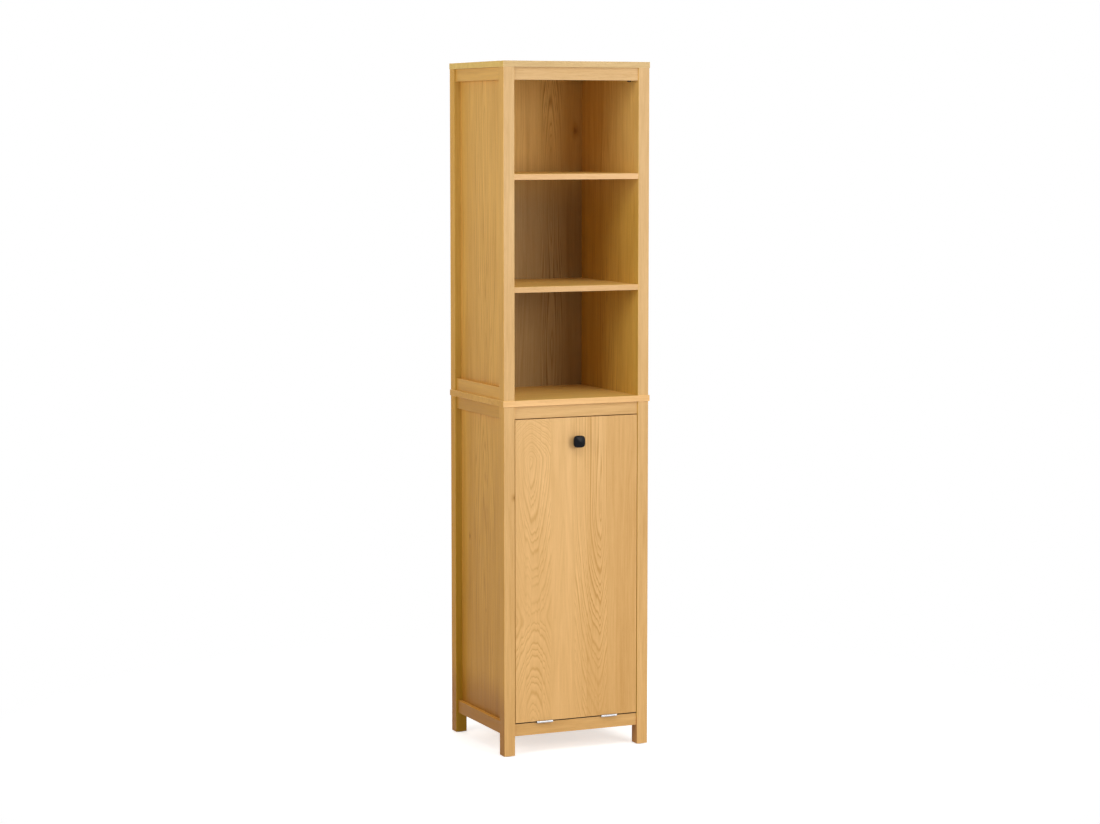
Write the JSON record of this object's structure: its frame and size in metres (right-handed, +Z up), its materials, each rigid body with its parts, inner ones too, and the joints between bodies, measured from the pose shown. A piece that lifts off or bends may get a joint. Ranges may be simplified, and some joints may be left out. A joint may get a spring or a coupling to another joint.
{
  "type": "tall bathroom cabinet",
  "caption": "Tall oak bathroom cabinet: open shelf unit on a base unit whose full-height door tilts out on bottom hinges and carries a laundry bag.",
  "frame": {"origin": "bottom centre of the overall box, on the floor under the glides; the box reaches from the knob's face to the back of the posts", "axes": "+Z up; the front, with the knob, faces -Y; +X to the right seen from the front"},
  "size_m": [0.4, 0.368, 1.72],
  "materials": {
    "oak": "satin lacquer",
    "plywood": "satin lacquer",
    "dowel": "plain",
    "knob_metal": "satin",
    "zinc": "satin",
    "bright_steel": "polished",
    "dark_plastic": "matte",
    "white_plastic": "matte",
    "canvas": "woven",
    "ferrite": "matte"
  },
  "bodies": {
    "cabinet": {"catch_cases": "dark_plastic", "catch_magnets": "ferrite", "catch_screws": "zinc", "corner_block_screws": "zinc", "corner_blocks": "dark_plastic", "floor_board": "oak", "foot_glides": "white_plastic", "hinge_frame_leaves": "bright_steel", "hinge_frame_screws": "zinc", "hinge_pins": "bright_steel", "lower_back_panel": "plywood", "lower_front_bottom_rail": "oak", "lower_front_top_rail": "oak", "lower_post_back_left": "oak", "lower_post_back_right": "oak", "lower_post_front_left": "oak", "lower_post_front_right": "oak", "lower_shelf": "oak", "lower_side_bottom_rail_left": "oak", "lower_side_bottom_rail_right": "oak", "lower_side_panel_left": "oak", "lower_side_panel_right": "oak", "lower_side_top_rail_left": "oak", "lower_side_top_rail_right": "oak", "middle_board": "oak", "post_dowels": "dowel", "rail_dowels": "dowel", "shelf_dowels": "dowel", "stay_studs": "zinc", "top_board": "oak", "upper_back_panel": "plywood", "upper_front_top_rail": "oak", "upper_post_back_left": "oak", "upper_post_back_right": "oak", "upper_post_front_left": "oak", "upper_post_front_right": "oak", "upper_shelf": "oak", "upper_side_bottom_rail_left": "oak", "upper_side_bottom_rail_right": "oak", "upper_side_panel_left": "oak", "upper_side_panel_right": "oak", "upper_side_top_rail_left": "oak", "upper_side_top_rail_right": "oak", "wall_bracket": "zinc", "wall_bracket_screws": "zinc"},
    "door": {"door": "oak", "knob": "knob_metal", "knob_screw": "zinc", "hinge_door_leaves": "bright_steel", "hinge_door_screws": "zinc", "door_screws": "zinc", "strike_plates": "zinc", "stay_brackets": "zinc", "stay_rivets": "zinc", "bag_hoop": "zinc", "bag_hoop_tabs": "zinc", "laundry_bag": "canvas"},
    "stay_left": {"stay_arm_left": "zinc"},
    "stay_right": {"stay_arm_right": "zinc"}
  },
  "joints": [
    {"name": "door_tilt", "type": "hinge", "parent": "cabinet", "child": "door", "pos_m": [0, -0.163, 0.08225], "axis": [1, 0, 0], "range_deg": [0, 32]},
    {"name": "stay_left_swing", "type": "hinge", "parent": "door", "child": "stay_left", "pos_m": [-0.151, -0.132, 0.43225], "axis": [1, 0, 0], "range_deg": [-16, 0]},
    {"name": "stay_right_swing", "type": "hinge", "parent": "door", "child": "stay_right", "pos_m": [0.151, -0.132, 0.43225], "axis": [1, 0, 0], "range_deg": [-16, 0]}
  ],
  "couplings": [
    {"joint": "stay_left_swing", "follows": "door_tilt", "ratio": -0.5},
    {"joint": "stay_right_swing", "follows": "door_tilt", "ratio": -0.5}
  ]
}
